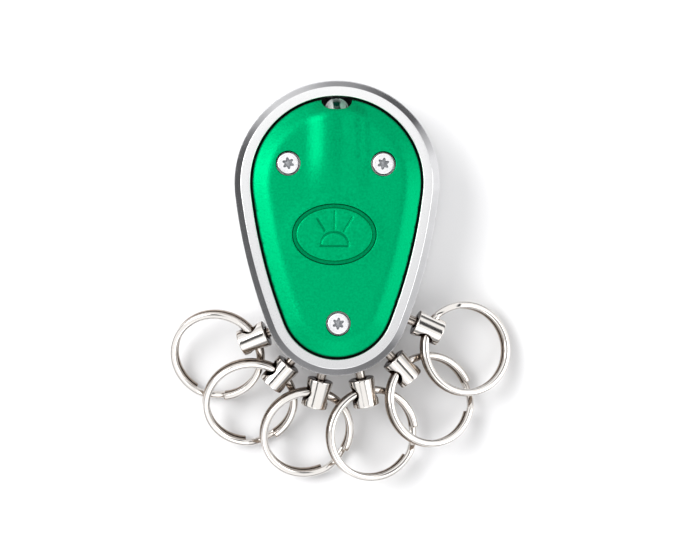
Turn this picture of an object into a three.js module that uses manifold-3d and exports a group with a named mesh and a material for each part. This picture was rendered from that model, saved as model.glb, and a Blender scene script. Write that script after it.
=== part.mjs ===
// Key organiser: an egg-shaped metal frame with a sculpted light cover, and six swivelling split rings.
// Millimetres, +Z up. The origin is the centre of the flat back.
// The lamp points along +Y and the rings hang at -Y.
import * as THREE from 'three';
import { mergeVertices } from 'three/addons/utils/BufferGeometryUtils.js';
import Module from 'manifold-3d';

const wasm = await Module();
wasm.setup();

const { PI, sin, cos, hypot, abs, min, max } = Math;
const rad = THREE.MathUtils.degToRad;
const smooth = THREE.MathUtils.smoothstep;

// ---------------------------------------------------------------- driving dimensions

// The parting line between cover and frame is an egg of four tangent arcs, symmetric about X = 0
const TOP = { y: 9.1, r: 17.0 };
const BOTTOM = { y: -14.9, r: 11.1 };
const FLANK_R = 105;

const FRAME_HEIGHT = 13;
const RIM = { inner: 0.3, flat: 2.2, outer: 3.6 };       // outward from the parting line
const BACK_CHAMFER = 0.8;
const WEB = { inset: 1.0, bottom: 1.8, top: 10.2 };      // the thick middle of the frame wall

const GAP = 0.3;                                         // between pieces that touch
const PAST = 1;                                          // how far a cutter runs past the face it cuts
const ABOVE_ALL = 20;                                    // where a cutter that runs right through ends
const BACK_PLATE_THICKNESS = 1.4;
const POST = { radius: 2.5, bore: 1.5, boreFloor: 2.2, top: 10.6 };

const COVER = { inset: 0.12, bottom: WEB.top + GAP, wall: 1.3, skirt: 1.2, edge: 13.0 };
const SHOULDER = { slope: 0.4, from: 2.0, to: 4.4 };
const COVER_CENTRE = { x: 0, y: 3 };
const RIDGE = { foot: 4, full: 15, left: [-6.6, -1.7], crest: [-1.3, 1.3], right: [3.6, 6.8] };
const RIDGE_STEP = { low: 0.25, high: 0.6 };
const KEY_DOME = { rise: 0.15, reach: 2.4 };
const NOTCH = { y: 25.9, halfWidth: 3.05, length: 2.2, power: 2.6 };

const SCREW_SITES = [{ x: -9.7, y: 12.9 }, { x: 9.3, y: 12.8 }, { x: 0.3, y: -19.1 }];
const SCREW = { head: 2.15, headHeight: 1.2, edge: 0.25, shank: 1.15, tip: 0.3, length: 9 };
const STAR = { radius: 1.2, mean: 0.8, lobe: 0.2, depth: 0.8 };
const SCREW_SEAT = { radius: 2.45, boss: 3.3, hole: 1.5 };

const KEY = { x: -0.5, y: -1.3, a: 8.4, b: 6.1, clearance: 0.2 };
const GROOVE = { width: 0.75, depth: 0.45, draft: 0.2 };
const KEY_FLANGE = { lip: 0.8, top: 12.9, thickness: 0.6 };
const GLYPH = { y: -3.6, radius: 2.8, line: 0.25, depth: 0.3, near: 3.5, far: 6.7 };
const GLYPH_RAYS = [-32, 0, 32];

const LED = { z: 8.2, radius: 2.5, domeY: 23.9, length: 6.1, flange: 2.9, flangeLength: 1 };
const LED_BORE = 2.75;
const LAMP_POCKET = 4.1;                                 // opens the frame's wall above the lamp
const LEAD = { side: 0.5, spacing: 2.54, length: 5.7 };

const CELL = { y: -2.5, radius: 10, thickness: 1.6, bottom: 3.4, face: 8.6, step: 0.3 };
const TRAY = { radius: 11.3, wall: 1.0, bottom: 1.8, floor: 0.8, top: 7.0 };
const CONTACT = { pad: 3.2, padY: -4.5, tail: 1.2, tailEnd: 5.5, thickness: 0.2 };
const BOARD = { bottom: 7.7, thickness: 1.0, radius: 10.5, neck: 4.5, neckEnd: 16 };
const SWITCH = { side: 6, height: 2.2, well: 2.05, wellDepth: 1.2 };
const PLUNGER = { radius: 1.75, top: 12, height: 1.1 };
const RESISTOR = { width: 3.2, depth: 1.6, height: 0.6, x: 5.5, y: -8 };

const PIN = { radius: 1.0, bore: 1.3, length: 7.0, head: 1.7, headLength: 1.0, edge: 0.25, tail: 0.6 };
const BARREL = { radius: 2.65, length: 5.8, chamfer: 0.25, socket: 0.9, eyeHeight: 7.2 };
const EYE = { throat: 1.55, mouth: 1.85, throatEnd: 1.06 };
const PIN_LEAN = 8;                                      // the loose pins droop outward, degrees

const WIRE = { radius: 8.95, width: 1.45, height: 1.2, pitch: 1.3, side: 0.35, jog: 36, slit: 2 };
const EYE_TO_CENTRE = 8.77;                              // from an eye to an unslid ring's centre

// How the six free swivels lie. bearing and reach place a barrel round the egg's small end, and heading
// is the way its pin points. dip, roll, yaw and slide place the split ring in the eye, and split is the
// angle at which it divides.
const STATIONS = [
  { bearing: -66.4, reach: 18.36, heading: -68, dip: 16.2, roll: 14.3, yaw: 3.1, slide: -0.1, split: 50 },
  { bearing: -38.4, reach: 18.66, heading: -41, dip: 13.1, roll: 21.4, yaw: -5.2, slide: -0.11, split: 58 },
  { bearing: -12.2, reach: 18.89, heading: -14, dip: 15.6, roll: 16.1, yaw: -0.6, slide: -0.05, split: 55 },
  { bearing: 16.7, reach: 19.06, heading: 11.5, dip: 7.5, roll: 16.6, yaw: -0.3, slide: -0.01, split: 65 },
  { bearing: 44.4, reach: 18.97, heading: 42, dip: 10.1, roll: 21.2, yaw: -0.1, slide: -0.15, split: 50 },
  { bearing: 74.2, reach: 19.24, heading: 65.7, dip: 13.5, roll: 14.9, yaw: -5, slide: 0.3, split: 141 },
];

// ---------------------------------------------------------------- materials

const finish = (color, roughness, metalness) => (
  new THREE.MeshStandardMaterial({ color, roughness, metalness })
);
const SATIN_ALLOY = () => finish(0xd9dbde, 0.3, 1);
const GREEN_METAL = () => finish(0x00b070, 0.38, 0.7);
const NICKEL = () => finish(0xcfc8bf, 0.12, 1);
const WHITE_STEEL = () => finish(0xe9e9ec, 0.3, 0.8);
const BLACK_PLASTIC = () => finish(0x1b1c1e, 0.6, 0);
const CLEAR_LENS = () => finish(0xf1f6f4, 0.05, 0);
const TINNED = () => finish(0xb9bcc0, 0.3, 1);
const BOARD_GREEN = () => finish(0x1d5a35, 0.5, 0);
const CELL_STEEL = () => finish(0xc2c5c9, 0.25, 1);
const BRASS = () => finish(0xc9a25a, 0.3, 1);
const RED_PLASTIC = () => finish(0x8a2a20, 0.5, 0);

// ---------------------------------------------------------------- solids and booleans

const organiser = new THREE.Group();

function toSolid(geometry) {
  const bare = geometry.clone();
  bare.deleteAttribute('normal');
  bare.deleteAttribute('uv');
  const merged = mergeVertices(bare, 1e-5);
  return new wasm.Manifold(new wasm.Mesh({
    numProp: 3,
    vertProperties: new Float32Array(merged.attributes.position.array),
    triVerts: new Uint32Array(merged.index.array),
  }));
}

function toGeometry(solid) {
  const mesh = solid.getMesh();
  const geometry = new THREE.BufferGeometry();
  geometry.setAttribute('position', new THREE.BufferAttribute(mesh.vertProperties, 3));
  geometry.setIndex(new THREE.BufferAttribute(mesh.triVerts, 1));
  return geometry;
}

function cut(geometry, cutters) {
  return toGeometry(cutters.reduce((solid, cutter) => solid.subtract(toSolid(cutter)), toSolid(geometry)));
}

function join(geometry, others) {
  return toGeometry(others.reduce((solid, other) => solid.add(toSolid(other)), toSolid(geometry)));
}

function addPiece(name, geometry, material, parent = organiser) {
  geometry.computeVertexNormals();
  const mesh = new THREE.Mesh(geometry, material);
  mesh.name = name;
  parent.add(mesh);
  return mesh;
}

// Skins a stack of loops that run anticlockwise about the way the stack climbs. An open stack is capped
// with a fan at each end, and a ring-shaped stack joins its last loop to its first.
function loft(loops, ring = false) {
  const count = loops[0].length;
  const points = loops.flat();
  const index = [];
  const bands = ring ? loops.length : loops.length - 1;
  for (let band = 0; band < bands; band += 1) {
    const low = band * count;
    const high = ((band + 1) % loops.length) * count;
    for (let i = 0; i < count; i += 1) {
      const j = (i + 1) % count;
      index.push(low + i, low + j, high + j, low + i, high + j, high + i);
    }
  }
  if (!ring) {
    const ends = [[loops[0], 0, true], [loops.at(-1), points.length - count, false]];
    for (const [loop, start, flip] of ends) {
      const middle = loop.reduce((sum, point) => sum.add(point), new THREE.Vector3()).divideScalar(count);
      const hub = points.push(middle) - 1;
      for (let i = 0; i < count; i += 1) {
        const j = (i + 1) % count;
        index.push(hub, start + (flip ? j : i), start + (flip ? i : j));
      }
    }
  }
  const geometry = new THREE.BufferGeometry().setFromPoints(points);
  geometry.setIndex(index);
  return geometry;
}

// A turned piece about +Z from [radius, height] pairs that start and end on the axis
function turned(profile, segments) {
  const points = profile.map(([radius, height]) => new THREE.Vector2(radius, height));
  return new THREE.LatheGeometry(points, segments).rotateX(PI / 2);
}

function rod(radius, from, to, segments) {
  return turned([[0, from], [radius, from], [radius, to], [0, to]], segments);
}

function block(width, depth, height, x, y, z) {
  return new THREE.BoxGeometry(width, depth, height).translate(x, y, z);
}

function plate(shape, bottom, thickness, curveSegments = 6) {
  return new THREE.ExtrudeGeometry(shape, { depth: thickness, bevelEnabled: false, curveSegments })
    .translate(0, 0, bottom);
}

// ---------------------------------------------------------------- egg outline

// The flank arcs' centre lies on the far side of the axis, tangent to the top and bottom circles
const FLANK = (() => {
  const toTop = FLANK_R - TOP.r;
  const toBottom = FLANK_R - BOTTOM.r;
  const y = (TOP.y + BOTTOM.y + (toBottom ** 2 - toTop ** 2) / (TOP.y - BOTTOM.y)) / 2;
  const x = -Math.sqrt(toTop ** 2 - (y - TOP.y) ** 2);
  return {
    x,
    y,
    upper: Math.atan2(TOP.y - y, -x),
    lower: Math.atan2(BOTTOM.y - y, -x),
  };
})();

const arcPoints = (x, y, radius, from, to, steps) => Array.from({ length: steps }, (_, i) => {
  const angle = from + (to - from) * i / steps;
  return new THREE.Vector2(x + radius * cos(angle), y + radius * sin(angle));
});

// The egg moved outward by offset, anticlockwise from the right flank
function egg(offset) {
  const { x, y, upper, lower } = FLANK;
  const flank = FLANK_R + offset;
  return [
    ...arcPoints(x, y, flank, lower, upper, 6),
    ...arcPoints(0, TOP.y, TOP.r + offset, upper, PI - upper, 30),
    ...arcPoints(-x, y, flank, PI - upper, PI - lower, 6),
    ...arcPoints(0, BOTTOM.y, BOTTOM.r + offset, PI - lower, 2 * PI + lower, 18),
  ];
}

const eggLoop = (offset, z) => egg(offset).map((point) => new THREE.Vector3(point.x, point.y, z));

// How far a point lies inside the parting line
function inset(x, y) {
  const angle = Math.atan2(y - FLANK.y, abs(x) - FLANK.x);
  if (angle > FLANK.upper) return TOP.r - hypot(x, y - TOP.y);
  if (angle < FLANK.lower) return BOTTOM.r - hypot(x, y - BOTTOM.y);
  return FLANK_R - hypot(abs(x) - FLANK.x, y - FLANK.y);
}

// ---------------------------------------------------------------- frame and back

function frameGeometry() {
  const profile = [
    [RIM.outer, BACK_CHAMFER], [RIM.outer, FRAME_HEIGHT - (RIM.outer - RIM.flat)],
    [RIM.flat, FRAME_HEIGHT], [RIM.inner, FRAME_HEIGHT], [RIM.inner, WEB.top],
    [-WEB.inset, WEB.top], [-WEB.inset, WEB.bottom], [RIM.inner, WEB.bottom], [RIM.inner, 0],
    [RIM.outer - BACK_CHAMFER, 0],
  ];
  const blank = loft(profile.map(([offset, z]) => eggLoop(offset, z)), true);
  const lampBore = rod(LED_BORE, LED.domeY - PAST, TOP.y + TOP.r + RIM.outer + PAST, 20)
    .rotateX(-PI / 2).translate(0, 0, LED.z);
  const pocketHeight = WEB.top - LED.z + PAST;
  const pocketY = TOP.y + TOP.r + RIM.inner - LAMP_POCKET / 2;
  const lampPocket = block(
    2 * NOTCH.halfWidth, LAMP_POCKET, pocketHeight,
    0, pocketY, LED.z + pocketHeight / 2,
  );
  const boreStart = -BARREL.length / 2 - PIN.length - PIN.headLength - PAST;
  const pinBores = STATIONS.map((station) => (
    rod(PIN.bore, boreStart, -BARREL.length / 2, 14).rotateY(PI / 2)
      .applyMatrix4(swivelGroup(station).matrixWorld)
  ));
  return cut(blank, [lampBore, lampPocket, ...pinBores]);
}

function backPlateGeometry() {
  const disc = loft([eggLoop(-COVER.inset, 0), eggLoop(-COVER.inset, BACK_PLATE_THICKNESS)]);
  const posts = SCREW_SITES.map(({ x, y }) => rod(POST.radius, BACK_PLATE_THICKNESS / 2, POST.top, 16)
    .translate(x, y, 0));
  const bores = SCREW_SITES.map(({ x, y }) => rod(POST.bore, POST.boreFloor, POST.top + PAST, 12)
    .translate(x, y, 0));
  return cut(join(disc, posts), bores);
}

// ---------------------------------------------------------------- cover and key

// The shoulder falls at a steady slope near the edge and eases off to level further in
function shoulderHeight(depth) {
  const { slope, from, to } = SHOULDER;
  const t = min(max((depth - from) / (to - from), 0), 1);
  return slope * (min(depth, from) + (to - from) * (t - t ** 3 + t ** 4 / 2));
}

function keyDistance(x, y) {
  const u = (x - KEY.x) / KEY.a;
  const v = (y - KEY.y) / KEY.b;
  return (u * u + v * v - 1) / max(2 * hypot(u / KEY.a, v / KEY.b), 1e-6);
}

// Height of the sculpted cover: a shoulder all round, a ridge behind the lamp with a step on its right
// side, and a slight dome under the key
function coverTop(x, y) {
  const { foot, full, left, crest, right } = RIDGE;
  const { low, high } = RIDGE_STEP;
  const depth = max(inset(x, y) - COVER.inset, 0);
  const climb = (low + high) * smooth(x, left[0], left[1]);
  const ridge = climb - low * smooth(x, crest[0], crest[1]) - high * smooth(x, right[0], right[1]);
  const along = smooth(y, foot, full) * smooth(depth, 0, 3);
  const dome = KEY_DOME.rise * (1 - smooth(keyDistance(x, y), 0, KEY_DOME.reach)) * smooth(depth, 0, 3);
  return COVER.edge + shoulderHeight(depth) + ridge * along + dome;
}

// One loop of the cover, shrunk towards its centre, at a height worked out point by point
function coverLoop(scale, offset, height) {
  return egg(offset).map((point) => {
    const x = COVER_CENTRE.x + (point.x - COVER_CENTRE.x) * scale;
    const y = COVER_CENTRE.y + (point.y - COVER_CENTRE.y) * scale;
    return new THREE.Vector3(x, y, height(x, y));
  });
}

// A boxy oval: the lamp's notch in the cover's edge
function notchShape() {
  const { halfWidth, length, power } = NOTCH;
  const squared = (value) => Math.sign(value) * abs(value) ** (2 / power);
  return new THREE.Shape(Array.from({ length: 32 }, (_, i) => new THREE.Vector2(
    halfWidth * squared(cos(2 * PI * i / 32)),
    length * squared(sin(2 * PI * i / 32)),
  )));
}

function coverGeometry() {
  const outside = [0.96, 0.92, 0.87, 0.8, 0.7, 0.58, 0.44, 0.28, 0.1];
  const inside = [0.1, 0.4, 0.65, 0.8];
  const underside = (x, y) => max(coverTop(x, y) - COVER.wall, COVER.bottom + COVER.skirt);
  const loops = [
    ...inside.map((scale) => coverLoop(scale, -COVER.inset, underside)),
    coverLoop(1, -COVER.inset - COVER.wall, () => COVER.bottom + COVER.skirt),
    coverLoop(1, -COVER.inset - COVER.wall, () => COVER.bottom),
    coverLoop(1, -COVER.inset, () => COVER.bottom),
    coverLoop(1, -COVER.inset, () => COVER.edge),
    ...outside.map((scale) => coverLoop(scale, -COVER.inset, coverTop)),
  ];
  const bosses = SCREW_SITES.map(({ x, y }) => (
    rod(SCREW_SEAT.boss, POST.top + GAP, coverTop(x, y) - GAP, 18).translate(x, y, 0)
  ));
  const seats = SCREW_SITES.flatMap(({ x, y }) => {
    const top = coverTop(x, y);
    return [
      rod(SCREW_SEAT.radius, top - SCREW.headHeight - GAP, ABOVE_ALL, 20).translate(x, y, 0),
      rod(SCREW_SEAT.hole, 0, top, 14).translate(x, y, 0),
    ];
  });
  const opening = rod(1, 0, ABOVE_ALL, 36).scale(KEY.a, KEY.b, 1).translate(KEY.x, KEY.y, 0);
  const notch = plate(notchShape(), 0, ABOVE_ALL).translate(0, NOTCH.y, 0);
  return cut(join(loft(loops), bosses), [opening, notch, ...seats]);
}

function ovalLoop(a, b, height) {
  const count = 36;
  return Array.from({ length: count }, (_, i) => {
    const angle = 2 * PI * i / count;
    const x = KEY.x + a * cos(angle);
    const y = KEY.y + b * sin(angle);
    return new THREE.Vector3(x, y, height(x, y));
  });
}

// A stroke of the lamp symbol: a bar that cuts straight down into the key
function glyphStroke(from, to) {
  const length = from.distanceTo(to);
  const middle = from.clone().add(to).divideScalar(2);
  const turn = Math.atan2(to.y - from.y, to.x - from.x);
  const bottom = coverTop(KEY.x, KEY.y) - GLYPH.depth;
  const height = ABOVE_ALL - bottom;
  return new THREE.BoxGeometry(length, 2 * GLYPH.line, height).rotateZ(turn)
    .translate(KEY.x + middle.x, GLYPH.y + middle.y, bottom + height / 2);
}

// The symbol: a half disc with three rays over it
function glyphCutters() {
  const base = new THREE.Vector2(-GLYPH.radius, 0);
  const strokes = GLYPH_RAYS.map((lean) => {
    const way = new THREE.Vector2(sin(rad(lean)), cos(rad(lean)));
    return glyphStroke(way.clone().multiplyScalar(GLYPH.near), way.clone().multiplyScalar(GLYPH.far));
  });
  strokes.push(glyphStroke(base, base.clone().negate()));
  const bow = Array.from({ length: 7 }, (_, i) => new THREE.Vector2(
    GLYPH.radius * cos(PI * i / 6),
    GLYPH.radius * sin(PI * i / 6),
  ));
  for (let i = 0; i < 6; i += 1) strokes.push(glyphStroke(bow[i], bow[i + 1]));
  return strokes;
}

function keyGeometry() {
  const { a, b, clearance } = KEY;
  const foot = GROOVE.width + GROOVE.draft;
  const { lip, top, thickness } = KEY_FLANGE;
  const level = (height) => () => height;
  const sunk = (x, y) => coverTop(x, y) - GROOVE.depth;
  const loops = [
    ovalLoop(a + lip, b + lip, level(top - thickness)),
    ovalLoop(a + lip, b + lip, level(top)),
    ovalLoop(a - clearance, b - clearance, level(top)),
    ovalLoop(a - clearance, b - clearance, sunk),
    ovalLoop(a - GROOVE.width, b - GROOVE.width, sunk),
    ovalLoop(a - foot, b - foot, coverTop),
    ovalLoop(a * 0.6, b * 0.6, coverTop),
    ovalLoop(a * 0.25, b * 0.25, coverTop),
  ];
  return cut(loft(loops), glyphCutters());
}

// ---------------------------------------------------------------- screws

// The six-lobed recess for the driver
function starShape() {
  return new THREE.Shape(Array.from({ length: 24 }, (_, i) => {
    const angle = 2 * PI * i / 24;
    const reach = STAR.radius * (STAR.mean + STAR.lobe * cos(6 * angle));
    return new THREE.Vector2(reach * cos(angle), reach * sin(angle));
  }));
}

function screwGeometry(headTop) {
  const { head, headHeight, edge, shank, tip, length } = SCREW;
  const under = headTop - headHeight;
  const blank = turned([
    [0, under - length], [shank - tip, under - length], [shank, under - length + tip], [shank, under],
    [head, under], [head, headTop - edge], [head - edge, headTop], [0, headTop],
  ], 18);
  return cut(blank, [plate(starShape(), headTop - STAR.depth, STAR.depth + 1)]);
}

// ---------------------------------------------------------------- lamp module

function ledGeometry() {
  const back = LED.domeY - LED.length;
  const dome = Array.from({ length: 6 }, (_, i) => {
    const angle = PI / 2 * i / 6;
    return [LED.radius * cos(angle), LED.domeY + LED.radius * sin(angle)];
  });
  const profile = [
    [0, back], [LED.flange, back], [LED.flange, back + LED.flangeLength],
    [LED.radius, back + LED.flangeLength], ...dome, [0, LED.domeY + LED.radius],
  ];
  return turned(profile, 20).rotateX(-PI / 2).translate(0, 0, LED.z);
}

function leadGeometry(side) {
  const back = LED.domeY - LED.length - GAP;
  const z = LED.z + side * LEAD.spacing / 2;
  return block(LEAD.side, LEAD.length, LEAD.side, 0, back - LEAD.length / 2, z);
}

// A disc centred at y, with a neck of the given half width that runs up to neckEnd
function paddle(y, radius, neck, neckEnd) {
  const start = Math.acos(neck / radius);
  const shape = new THREE.Shape();
  shape.moveTo(neck, neckEnd);
  shape.lineTo(-neck, neckEnd);
  shape.absarc(0, y, radius, PI - start, 2 * PI + start, false);
  shape.closePath();
  return shape;
}

// The disc carries the switch and the neck runs up to the lamp
function boardGeometry() {
  return plate(paddle(CELL.y, BOARD.radius, BOARD.neck, BOARD.neckEnd), BOARD.bottom, BOARD.thickness, 18);
}

function trayGeometry() {
  const { radius, wall, bottom, floor, top } = TRAY;
  return turned([
    [0, bottom], [radius, bottom], [radius, top], [radius - wall, top], [radius - wall, bottom + floor],
    [0, bottom + floor],
  ], 30).translate(0, CELL.y, 0);
}

function cellGeometry(bottom) {
  const { radius, thickness, face, step, y } = CELL;
  return turned([
    [0, bottom], [face, bottom], [face, bottom + step], [radius, bottom + step],
    [radius, bottom + thickness], [0, bottom + thickness],
  ], 28).translate(0, y, 0);
}

// A flat spring with a round pad and a tail, placed by its upper face
function contactGeometry(top) {
  const { pad, padY, tail, tailEnd, thickness } = CONTACT;
  return plate(paddle(padY, pad, tail, tailEnd), top - thickness, thickness, 10);
}

function addLampModule() {
  const boardTop = BOARD.bottom + BOARD.thickness;
  const switchTop = boardTop + GAP + SWITCH.height;
  addPiece('led_lamp', ledGeometry(), CLEAR_LENS());
  addPiece('led_anode_lead', leadGeometry(1), TINNED());
  addPiece('led_cathode_lead', leadGeometry(-1), TINNED());
  addPiece('circuit_board', boardGeometry(), BOARD_GREEN());
  addPiece('cell_tray', trayGeometry(), BLACK_PLASTIC());
  addPiece('coin_cell_lower', cellGeometry(CELL.bottom), CELL_STEEL());
  addPiece('coin_cell_upper', cellGeometry(CELL.bottom + CELL.thickness + GAP), CELL_STEEL());
  addPiece('cell_contact_lower', contactGeometry(CELL.bottom - GAP), BRASS());
  addPiece('cell_contact_upper', contactGeometry(BOARD.bottom - GAP), BRASS());
  const { width, depth, height, x, y } = RESISTOR;
  const resistor = block(width, depth, height, x, y, boardTop + GAP + height / 2);
  addPiece('series_resistor', resistor, BLACK_PLASTIC());
  const housing = block(SWITCH.side, SWITCH.side, SWITCH.height, 0, 0, switchTop - SWITCH.height / 2);
  const well = rod(SWITCH.well, switchTop - SWITCH.wellDepth, switchTop + PAST, 16);
  addPiece('switch_body', cut(housing, [well]).translate(KEY.x, KEY.y, 0), BLACK_PLASTIC());
  const plunger = rod(PLUNGER.radius, PLUNGER.top - PLUNGER.height, PLUNGER.top, 16);
  addPiece('switch_plunger', plunger.translate(KEY.x, KEY.y, 0), RED_PLASTIC());
}

// ---------------------------------------------------------------- swivels and split rings

// A group whose X axis points outward along a heading and dips, rolled so that its -Y side is lifted
function attitude(origin, heading, dip, roll) {
  const up = new THREE.Vector3(0, 0, 1);
  const out = new THREE.Vector3(sin(rad(heading)), -cos(rad(heading)), 0);
  const side = new THREE.Vector3(cos(rad(heading)), sin(rad(heading)), 0);
  const along = out.clone().multiplyScalar(cos(rad(dip))).addScaledVector(up, -sin(rad(dip)));
  const normal = up.clone().multiplyScalar(cos(rad(dip))).addScaledVector(out, sin(rad(dip)));
  const across = side.clone().multiplyScalar(cos(rad(roll))).addScaledVector(normal, -sin(rad(roll)));
  const group = new THREE.Group();
  group.applyMatrix4(new THREE.Matrix4().makeBasis(along, across, along.clone().cross(across)));
  group.position.copy(origin);
  group.updateMatrixWorld(true);
  return group;
}

function eyeOf(station) {
  const bearing = rad(station.bearing);
  return new THREE.Vector3(
    station.reach * sin(bearing),
    BOTTOM.y - station.reach * cos(bearing),
    BARREL.eyeHeight,
  );
}

function swivelGroup(station) {
  return attitude(eyeOf(station), station.heading, PIN_LEAN, station.roll);
}

function ringGroup(station) {
  const group = attitude(eyeOf(station), station.heading + station.yaw, station.dip, station.roll);
  group.translateX(EYE_TO_CENTRE + station.slide);
  return group;
}

function barrelGeometry() {
  const { radius, length, chamfer, socket } = BARREL;
  const { throat, mouth, throatEnd } = EYE;
  const half = length / 2;
  const body = turned([
    [0, -half], [radius - chamfer, -half], [radius, -half + chamfer], [radius, half - chamfer],
    [radius - chamfer, half], [0, half],
  ], 20).rotateY(PI / 2);
  const eyeCutter = turned([
    [0, -radius - PAST], [mouth, -radius - PAST], [mouth, -radius], [throat, -throatEnd],
    [throat, throatEnd], [mouth, radius], [mouth, radius + PAST], [0, radius + PAST],
  ], 16).rotateX(PI / 2);
  const pinSocket = rod(PIN.bore, -half - PAST, -half + socket, 12).rotateY(PI / 2);
  return cut(body, [eyeCutter, pinSocket]);
}

// The pin's shoulder and neck run from its head inside the frame to its tail in the barrel's end
function pinGeometry() {
  const end = -BARREL.length / 2 + PIN.tail;
  const shoulder = -BARREL.length / 2 - PIN.length;
  const { radius, head, headLength, edge } = PIN;
  return turned([
    [0, shoulder - headLength], [head - edge, shoulder - headLength],
    [head, shoulder - headLength + edge], [head, shoulder], [radius, shoulder], [radius, end], [0, end],
  ], 12).rotateY(PI / 2);
}

// Two turns of flat wire: the upper turn starts beside the split, and steps down over it to the lower turn
function splitRingGeometry(split) {
  const { radius, width, height, pitch, side, jog, slit } = WIRE;
  const section = [
    [-width / 2, 0], [-width / 2 + side, height / 2], [width / 2 - side, height / 2],
    [width / 2, 0], [width / 2 - side, -height / 2], [-width / 2 + side, -height / 2],
  ];
  const turnAngles = (from, to, steps) => (
    Array.from({ length: steps + 1 }, (_, i) => from + (to - from) * i / steps)
  );
  const angles = [
    ...turnAngles(jog / 2 + slit, 360 - jog / 2, 24),
    ...turnAngles(360 - jog / 2, 360 + jog / 2, 4).slice(1, -1),
    ...turnAngles(360 + jog / 2, 720 - jog / 2 - slit, 24),
  ];
  return loft(angles.map((angle) => {
    const lift = pitch / 2 - pitch * smooth(angle, 360 - jog / 2, 360 + jog / 2);
    const turn = rad(split + angle);
    return section.map(([out, up]) => new THREE.Vector3(
      (radius + out) * cos(turn),
      (radius + out) * sin(turn),
      lift + up,
    ));
  }));
}

// ---------------------------------------------------------------- assembly

addPiece('body_frame', frameGeometry(), SATIN_ALLOY());
addPiece('back_plate', backPlateGeometry(), SATIN_ALLOY());
addPiece('front_cover', coverGeometry(), GREEN_METAL());
addPiece('light_button', keyGeometry(), GREEN_METAL());
addLampModule();

SCREW_SITES.forEach(({ x, y }, i) => {
  addPiece(`cover_screw_${i + 1}`, screwGeometry(coverTop(x, y)), WHITE_STEEL()).position.set(x, y, 0);
});

STATIONS.forEach((station, i) => {
  const swivel = swivelGroup(station);
  const ring = ringGroup(station);
  organiser.add(swivel, ring);
  addPiece(`swivel_pin_${i + 1}`, pinGeometry(), NICKEL(), swivel);
  addPiece(`swivel_barrel_${i + 1}`, barrelGeometry(), NICKEL(), swivel);
  addPiece(`key_ring_${i + 1}`, splitRingGeometry(station.split), NICKEL(), ring);
});

export default organiser;
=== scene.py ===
"""Looks for a key organiser: a metal housing with a green light cover, six swivels and six split rings.

Shapes are worked out in millimetres and stored in metres. +Z points up from the flat back, +Y towards
the lamp and -Y towards the rings.
"""

import math

import bmesh
import bpy
from mathutils import Matrix, Vector
from mathutils.geometry import delaunay_2d_cdt


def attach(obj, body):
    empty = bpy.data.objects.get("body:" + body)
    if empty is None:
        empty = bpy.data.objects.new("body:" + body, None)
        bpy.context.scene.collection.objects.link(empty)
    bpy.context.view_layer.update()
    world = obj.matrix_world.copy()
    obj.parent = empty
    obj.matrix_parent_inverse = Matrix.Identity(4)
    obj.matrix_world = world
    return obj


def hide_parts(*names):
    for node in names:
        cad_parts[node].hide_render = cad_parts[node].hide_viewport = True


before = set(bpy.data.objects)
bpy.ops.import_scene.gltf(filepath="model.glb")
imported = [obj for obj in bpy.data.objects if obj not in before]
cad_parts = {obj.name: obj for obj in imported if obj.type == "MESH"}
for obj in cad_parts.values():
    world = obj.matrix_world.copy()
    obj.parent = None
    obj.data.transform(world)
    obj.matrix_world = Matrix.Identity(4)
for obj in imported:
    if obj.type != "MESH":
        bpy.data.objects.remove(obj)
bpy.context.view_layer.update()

MM = 0.001
TAU = 2 * math.pi

# ------------------------------------------------------------------ camera

CAMERA = Vector((0.64, -8.4, 413))
FIELD = 136                                  # the width in view at the rim's height
RIM_DISTANCE = 400

camera_data = bpy.data.cameras.new("camera")
camera_data.lens = camera_data.sensor_width * RIM_DISTANCE / FIELD
camera_data.clip_start = 0.01
camera = bpy.data.objects.new("camera", camera_data)
camera.location = CAMERA * MM
bpy.context.scene.collection.objects.link(camera)
bpy.context.scene.camera = camera

# ------------------------------------------------------------------ dimensions, in millimetres and degrees

TOP_Y, TOP_R = 9.1, 17.0
BOTTOM_Y, BOTTOM_R = -14.9, 11.1
FLANK_R = 105.0
FRAME_TOP = 13.0                             # the cover's edge is level with it
COVER_INSET = 0.12
KEY_X, KEY_Y, KEY_A, KEY_B = -0.5, -1.3, 8.4, 6.1
SCREW_SITES = [(-9.7, 12.9), (9.3, 12.8), (0.3, -19.1)]
NOTCH_Y, NOTCH_A, NOTCH_B, NOTCH_POWER = 25.9, 3.05, 2.2, 2.6
LED_Z, LENS_R = 8.2, 2.5
STATIONS = [
    dict(bearing=-66.4, reach=18.36, heading=-68, dip=16.2, roll=14.3, yaw=3.1, slide=-0.1, split=50),
    dict(bearing=-38.4, reach=18.66, heading=-41, dip=13.1, roll=21.4, yaw=-5.2, slide=-0.11, split=58),
    dict(bearing=-12.2, reach=18.89, heading=-14, dip=15.6, roll=16.1, yaw=-0.6, slide=-0.05, split=55),
    dict(bearing=16.7, reach=19.06, heading=11.5, dip=7.5, roll=16.6, yaw=-0.3, slide=-0.01, split=65),
    dict(bearing=44.4, reach=18.97, heading=42, dip=10.1, roll=21.2, yaw=-0.1, slide=-0.15, split=50),
    dict(bearing=74.2, reach=19.24, heading=65.7, dip=13.5, roll=14.9, yaw=-5, slide=0.3, split=141),
]
EYE_HEIGHT = 7.2
PIN_LEAN = 8
EYE_TO_CENTRE = 8.77


def smooth(value, low, high):
    t = min(max((value - low) / (high - low), 0), 1)
    return t * t * (3 - 2 * t)


# ------------------------------------------------------------------ materials


def colour_ramp(tree, source, stops):
    """A colour ramp with (place, colour) stops, fed by source."""
    node = tree.nodes.new("ShaderNodeValToRGB")
    elements = node.color_ramp.elements
    while len(elements) < len(stops):
        elements.new(0.5)
    for element, (place, colour) in zip(elements, stops):
        element.position = place
        element.color = (*colour, 1)
    tree.links.new(source, node.inputs["Fac"])
    return node.outputs["Color"]


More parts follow.
